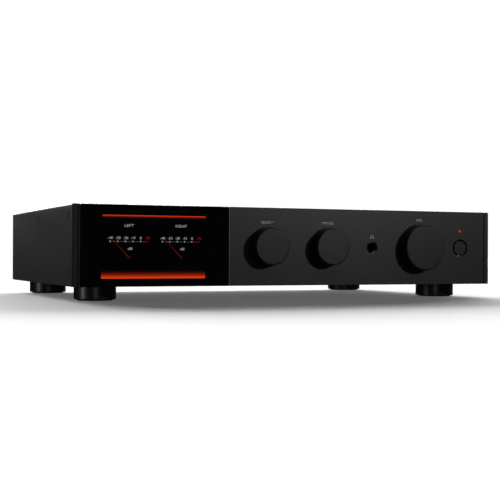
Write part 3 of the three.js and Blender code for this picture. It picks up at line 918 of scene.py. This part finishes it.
def make_foot(node):
    """A turned foot with a recess underneath, and the rubber ring in it."""
    box = span(node)
    pad = span(node + "_pad")
    centre = (middle(box[0]), middle(box[1]), 0)
    radius, (low, high) = half(box[0]), box[2]
    screw_well, pad_well = 5.5, 17.3
    profile = [
        (0, 4.2), (screw_well, 4.2), (screw_well, 2.5), (pad_well, 2.5), (pad_well, low),
        (radius - 0.5, low), (radius, low + 0.6), (radius, high - 0.5), (radius - 0.4, high), (0, high),
    ]
    obj = build(node + "_body", [lathe(profile, "z", centre, 128)], foot_plastic)
    soften(obj, 0.3, 3, 30)
    light_falls_on("sides_and_feet", obj)
    light_falls_on("feet_only", obj)
    piece(obj, CASE, "foot_black", node)
    inner, outer = 4, half(pad[0])
    ring = [(inner, 0), (outer, 0), (outer, pad[2][1]), (inner, pad[2][1])]
    cushion = build(node + "_ring", [lathe(ring, "z", centre, 96)], pad_rubber)
    soften(cushion, 0.5, 3)
    piece(cushion, CASE, "pad_rubber", node + "_pad")


make_cover()
make_side_screws()
for end in ("front", "rear"):
    for side in SIDES:
        make_foot(f"{end}_{side}_foot")


# -------------------- rear panels
INLET = front_place("mains_inlet")
ROCKER = front_place("mains_switch_housing")
TERMINAL_BOX = span("speaker_terminal_block")
TERMINALS = front_place("speaker_terminal_block")
REAR_FACE = rear_box[1][1]
SHEET_INNER = rear_box[1][0]
CAPS = sorted(node for node in frame["nodes"] if node.endswith("_terminal_cap"))
JACK_FACES = {"analogue_jack_block": (-32, 43), "digital_jack_block": (-112, -58)}
JACK_FACE_HEIGHTS = (UNDERSIDE + 22, UNDERSIDE + 59)
JACK_HEIGHTS = (32, 50)
LABEL_Z, SIGN_Z, CHANNEL_Z = UNDERSIDE + 64.6, UNDERSIDE + 56, UNDERSIDE + 17
LABEL_LIFT = 17
# Each pair's name and place, and the words and name of its label.
ANALOGUE = (("line_1", -23, "LINE 1", "input_label_1"), ("line_2", -4, "LINE 2", "input_label_2"),
            ("line_3", 15, "LINE 3", "input_label_3"), ("pre_out", 34, "PRE OUT", "output_label"))
COAXIAL_X = -66
OPTICAL_X = (-104, -87)
OPTICAL_Z = UNDERSIDE + 41


def rear_hole(x, z, half_x, half_z):
    """A round-cornered cutter through the rear sheet."""
    return upright(rounded_outline(2 * half_x, 2 * half_z, 0.6, 4), -3, 3, x, z)


def jack_face(node):
    """The middle and half sizes of a jack block's face in the rear sheet."""
    x, z = JACK_FACES[node], JACK_FACE_HEIGHTS
    return middle(x), middle(z), half(x), half(z)


def make_rear_panels():
    """The signal sheet and the mains sheet, each with its holes."""
    panel = build("rear_sheet", [cuboid(*rear_box)], rear_paint)
    tools = [rear_hole(*TERMINALS, half(TERMINAL_BOX[0]) - 3, 9)]
    for node in JACK_FACES:
        mid_x, mid_z, half_x, half_z = jack_face(node)
        tools.append(rear_hole(mid_x, mid_z, half_x + 0.25, half_z + 0.25))
    cut(panel, tools)
    soften(panel, 0.12, 2)
    piece(panel, CASE, "rear_paint", "rear_panel")
    plate = build("mains_sheet", [cuboid(*span("mains_panel"))], rear_paint)
    cut(plate, [rear_hole(*INLET, 14, 10.5), rear_hole(*ROCKER, 6.9, 10)])
    soften(plate, 0.12, 2)
    piece(plate, CASE, "rear_paint", "mains_panel")


def make_rear_screws():
    """Pan-head screws round the rear sheets, with a cross recess."""
    low, high = UNDERSIDE + 6.5, TOP - 6.5
    places = [(x, z) for x in (-214, -141, -131, -50, 60, 214) for z in (low, high)]
    places += [(INLET[0] - 20.5, INLET[1]), (INLET[0] + 20.3, INLET[1])]
    for index, (x, z) in enumerate(places):
        screw_head(f"rear_screw_{index + 1}", (x, REAR_FACE, z), "y", 2.7, 0.75)


def screw_head(name, place, axis, radius, height):
    """A domed head with a cross recess."""
    profile = [(0, height), (radius * 0.55, height * 0.96), (radius * 0.85, height * 0.66),
               (radius, height * 0.15), (radius, -0.1), (0, -0.1)]
    obj = build(name, [lathe(profile, axis, place, 40)], black_oxide)
    long, short = radius * 0.55, 0.3
    cross = []
    for a, b in ((long, short), (short, long)):
        cross.append(prism([(-a, -b), (a, -b), (a, b), (-a, b)], height * 0.3, height + 1, axis, place))
    cut(obj, cross)
    soften(obj, 0.06, 2, 40)
    piece(obj, CASE, "screw_black")


def rear_text(name, words, cap, x, z, width=None):
    """A generic printed word on the rear, turned about so that it reads from behind."""
    obj = print_text(name, words, cap, (0, 0, 0), print_grey, "rear_paint", width)
    for vertex in obj.data.vertices:
        vertex.co = Vector((x * MM - vertex.co.x, (REAR_FACE + 0.03) * MM, z * MM + vertex.co.z))
    obj.data.flip_normals()
    return obj


# -------------------- mains inlet and switch
def inlet_outline(half_x, half_z, corner, nick):
    """An oblong with cut corners, the upper and the lower pair by their own amounts, in (right, up)."""
    left = [(-half_x + corner, half_z), (-half_x, half_z - corner),
            (-half_x, -half_z + nick), (-half_x + nick, -half_z)]
    right = [(-a, b) for a, b in reversed(left)]
    return left + right


def upright(outline, low, high, x, z):
    """An outline in (x, z), extruded in y between two places measured from the rear face."""
    return prism([(a, -b) for a, b in outline], low, high, "y", (x, REAR_FACE, z))


def make_mains_inlet():
    box = span("mains_inlet")
    x, z = INLET
    flange = upright(rounded_outline(31, 24, 2.2), 0.3, 2.3, x, z)
    shell = build("inlet_shell", [flange], moulded)
    add(shell, [cuboid((x - 13.6, x + 13.6), (box[1][0], REAR_FACE + 1), (z - 10.1, z + 10.1))])
    mouth = inlet_outline(12, 8.2, 1.0, 3.6)
    cut(shell, [upright(mouth, -16.2, 4, x, z)])
    soften(shell, 0.3, 3)
    piece(shell, CASE, "moulded_black", "mains_inlet")
    for index, (a, b) in enumerate(((-7, -1.5), (0, 2.5), (7, -1.5))):
        blade = upright(rounded_outline(2.0, 4.0, 0.4), -17.2, -3.2, x + a, z + b)
        obj = build(f"inlet_blade_{index + 1}", [blade], nickel)
        soften(obj, 0.3, 2)
        piece(obj, CASE, "plated_steel")


def make_mains_switch():
    box = span("mains_switch_housing")
    x, z = ROCKER
    shell = build("switch_frame", [upright(rounded_outline(15, 21.6, 1.6), 0.3, 1.8, x, z)], moulded)
    add(shell, [cuboid((x - 6.5, x + 6.5), (box[1][0], REAR_FACE + 1), (z - 9.7, z + 9.7))])
    cut(shell, [cuboid((x - 5.3, x + 5.3), (REAR_FACE - 11.2, REAR_FACE + 4), (z - 8.6, z + 8.6))])
    soften(shell, 0.25, 3)
    piece(shell, CASE, "moulded_black", "mains_switch_housing")
    make_rocker()


PADDLE_TILT = math.radians(9)
PADDLE_VALLEY = 1.4
PADDLE_SLOPE = 1.2 / 7.6


def tilted(up, out):
    """A point of the untilted paddle, turned with it."""
    sine, cosine = math.sin(PADDLE_TILT), math.cos(PADDLE_TILT)
    return up * cosine + out * sine, out * cosine - up * sine


def make_rocker():
    """The paddle at its rest tilt: two flat faces that meet in a shallow valley, each with its mark."""
    pivot = joint_place("mains_rock")
    outline = [(7.6, 2.6), (2.5, -3.2), (-2.5, -3.2), (-7.6, 2.6),
               (-4.2, 1.85), (0, PADDLE_VALLEY), (4.2, 1.85)]
    turned = [tilted(up, out) for up, out in outline]
    points = [(pivot.x + side * 5.0, pivot.y + out, pivot.z + up) for side in (-1, 1) for up, out in turned]
    obj = build("rocker_paddle", [closed(points)], moulded)
    soften(obj, 0.3, 3, 20)
    piece(obj, "mains_paddle", "moulded_black", "mains_rocker")
    bar = [(-0.25, -1.3), (0.25, -1.3), (0.25, 1.3), (-0.25, 1.3)]
    outer, inner = ring_points(1.3, 24), ring_points(0.85, 24)
    quads = [(outer[i - 1], outer[i], inner[i], inner[i - 1]) for i in range(24)]
    for name, shapes, height in (("rocker_on", [bar], 4.6), ("rocker_off", quads, -4.6)):
        shells = [paddle_mark(shape, pivot, height) for shape in shapes]
        piece(build(name, shells, print_white), "mains_paddle", "moulded_black")


def paddle_mark(shape, pivot, height):
    """A thin printed shape on one face of the paddle, at a height along it."""
    points = []
    for lift in (0.02, 0.05):
        for a, b in shape:
            up, out = tilted(height + b, PADDLE_VALLEY + abs(height + b) * PADDLE_SLOPE + lift)
            points.append((pivot.x - a, pivot.y + out, pivot.z + up))
    return closed(points)


# -------------------- jacks
def make_jack(name, x, z, insulator, tip):
    """A phono jack: a plated barrel, a coloured insulator and a sprung contact."""
    end = tip - REAR_FACE
    radius, inner, bore = 4.2, 3.3, 1.7
    barrel = [(radius, 0.3), (radius, end - 0.4), (radius - 0.4, end),
              (inner, end), (inner, 1.0), (inner, 0.3)]
    core = [(0, 0.3), (3.25, 0.3), (3.25, end - 0.6), (2.2, end - 0.35), (bore, end - 0.9), (bore, end - 8),
            (0, end - 8)]
    contact = [(1.68, end - 2.6), (1.68, end - 7.9), (1.35, end - 7.9), (1.35, end - 2.6)]
    for part, profile, segments, material, edge in (("_barrel", barrel, 48, nickel, 0.1),
                                                    ("_insulator", core, 48, insulator, 0.12),
                                                    ("_contact", contact, 32, gold, None)):
        obj = build(name + part, [lathe(profile, "y", (x, REAR_FACE, z), segments)], material)
        if edge:
            soften(obj, edge, 2, 25)
        piece(obj, CASE, "plated_steel")


def jack_housing(node, places):
    """The moulded block behind the sheet, with its flat face and a raised collar for each jack."""
    box = span(node)
    mid_x, mid_z, half_x, half_z = jack_face(node)
    inner = SHEET_INNER - 0.3
    obj = build(node.replace("block", "housing"), [cuboid(box[0], (box[1][0], inner), box[2])], moulded)
    face = upright(rounded_outline(2 * half_x, 2 * half_z, 0.5, 3), -2.0, 0.1, mid_x, mid_z)
    add(obj, [face])
    collars = [lathe(disc(5.6, -0.5, 0.4), "y", (x, REAR_FACE, z), 48) for x, z in places]
    add(obj, collars)
    return obj


def make_analogue_jacks():
    """Pairs of jacks, red below and white above, in their housing."""
    tip = span("analogue_jack_block")[1][1]
    places = []
    for name, x, _, _ in ANALOGUE:
        for height, insulator in zip(JACK_HEIGHTS, (insulator_red, insulator_white)):
            places.append((x, UNDERSIDE + height))
            make_jack(f"{name}_{height}", *places[-1], insulator, tip)
    obj = jack_housing("analogue_jack_block", places)
    soften(obj, 0.15, 2)
    piece(obj, CASE, "moulded_black", "analogue_jack_block")


def make_digital_jacks():
    """Two coaxial jacks and two optical ports, closed by their shutters, in their housing."""
    tip = span("digital_jack_block")[1][1]
    places = []
    for height in JACK_HEIGHTS:
        places.append((COAXIAL_X, UNDERSIDE + height))
        make_jack(f"coaxial_{height}", *places[-1], insulator_orange, tip)
    obj = jack_housing("digital_jack_block", places)
    mouth = inlet_outline(3.4, 3.4, 0.1, 1.3)
    leaf = [(a * 0.94, b * 0.94) for a, b in mouth]
    for x in OPTICAL_X:
        add(obj, [upright(rounded_outline(9.6, 9.6, 0.8), -0.5, 1.4, x, OPTICAL_Z)])
        cut(obj, [upright(mouth, 0.02, 3, x, OPTICAL_Z)])
        shutter = build(f"optical_shutter_{-x}", [upright(leaf, -0.3, 0.3, x, OPTICAL_Z)], cap_black)
        soften(shutter, 0.1, 2)
        piece(shutter, CASE, "moulded_black")
    soften(obj, 0.15, 2)
    piece(obj, CASE, "moulded_black", "digital_jack_block")


# -------------------- speaker terminals
def make_terminals():
    """The moulded plate and the four posts on it."""
    x, z = TERMINALS
    reach = half(TERMINAL_BOX[0])
    flange = upright(rounded_outline(2 * reach, 26, 2.0), 0.3, 3.5, x, z)
    plate = build("terminal_plate", [flange], moulded)
    inner = reach - 3.5
    add(plate, [cuboid((x - inner, x + inner), (TERMINAL_BOX[1][0], REAR_FACE + 1), (z - 8.5, z + 8.5))])
    soften(plate, 0.4, 3)
    piece(plate, CASE, "moulded_black", "speaker_terminal_block")
    for node in CAPS:
        make_post(node, TERMINAL_BOX[1][1])


def make_post(node, tip):
    """A plated collar and stud on the case, and a fluted cap that turns on them."""
    name = node.replace("_terminal_cap", "")
    centre = joint_place(name + "_terminal_unscrew")
    base = REAR_FACE + 3.4
    end = tip - base
    collar, thread, socket = 6.2, 2.95, 1.2
    profile = [(0, 0), (collar, 0), (collar, 2.6), (collar - 0.4, 3.0), (thread, 3.0), (thread, end - 0.4),
               (2.5, end), (socket, end), (socket, end - 6), (0, end - 6)]
    stud = build(name + "_stud", [lathe(profile, "y", (centre.x, base, centre.z), 64)], gold)
    soften(stud, 0.15, 2, 30)
    piece(stud, CASE, "plated_steel")
    box = span(node)
    colour, material = ("red", cap_red) if "positive" in name else ("black", cap_black)
    cap = fluted_cap(name + "_cap", centre, box[1], half(box[0]), material)
    piece(cap, name + "_binding_post", "terminal_" + colour, node)


def fluted_cap(name, centre, y, radius, material):
    """A cap with 18 round flutes between two plain ends, bored through."""
    low, high = y
    place = (centre.x, low, centre.z)
    steps, flutes, flute_depth = 216, 18, 0.5
    outline = []
    for step in range(steps):
        angle = math.tau * step / steps
        reach = radius - flute_depth * max(0.0, math.cos(flutes * angle)) ** 0.6
        outline.append((reach * math.cos(angle), reach * math.sin(angle)))
    cap = build(name, [prism(outline, 2.0, high - low - 1.0, "y", place)], material)
    add(cap, [lathe([(0, 0), (radius - 0.5, 0), (radius, 0.5), (radius, 2.4), (0, 2.4)], "y", place, 96),
              lathe([(0, 0), (radius - 0.3, 0), (radius - 0.9, 1.6), (radius - 1.6, 2.0), (0, 2.0)], "y",
                    (centre.x, high - 2.0, centre.z), 96)])
    cut(cap, [lathe(disc(3.3, -1, high - low + 1), "y", place, 64)])
    soften(cap, 0.08, 2, 50)
    return cap


def make_rear_labels():
    """Plain function words above the connectors."""
    rear_text("inlet_label", "AC", 2.4, INLET[0], INLET[1] + LABEL_LIFT)
    rear_text("power_label", "POWER", 2.4, ROCKER[0], ROCKER[1] + LABEL_LIFT)
    rear_text("digital_label", "DIGITAL", 2.4, -85, LABEL_Z)
    for _, x, words, name in ANALOGUE:
        rear_text(name, words, 2.0, x, LABEL_Z)
    rear_text("terminal_label", "SPEAKERS", 2.4, TERMINALS[0], LABEL_Z)
    for side in SIDES:
        negative = joint_place(side + "_negative_terminal_unscrew").x
        positive = joint_place(side + "_positive_terminal_unscrew").x
        rear_text(side + "_terminal_label", side[0].upper(), 3.0, middle((negative, positive)), CHANNEL_Z)
        rear_text(side + "_negative_sign", "-", 0.5, negative, SIGN_Z, 2.6)
        rear_text(side + "_positive_sign", "+", 2.6, positive, SIGN_Z, 2.6)


make_rear_panels()
make_rear_screws()
make_mains_inlet()
make_mains_switch()
make_analogue_jacks()
make_digital_jacks()
make_terminals()
make_rear_labels()


# -------------------- carried-over CAD nodes
CARRIED_OVER = (
    (zinc, ("bottom_chassis", "front_subframe", "transformer_clamp")),
    (zinc, ("select_encoder", "mode_encoder", "volume_encoder")),
    (nickel, ("select_shaft", "mode_shaft", "volume_shaft")),
    (solder_mask, ("control_board", "amplifier_board", "input_board")),
    (moulded, ("power_switch", "left_power_module", "right_power_module", "speaker_relay")),
    (tape, ("toroidal_transformer",)),
    (bare_aluminium, ("heatsink",)),
    (sleeve, ("smoothing_capacitor_1", "smoothing_capacitor_2")),
)
for material, nodes in CARRIED_OVER:
    for node in nodes:
        repaint(node, material)
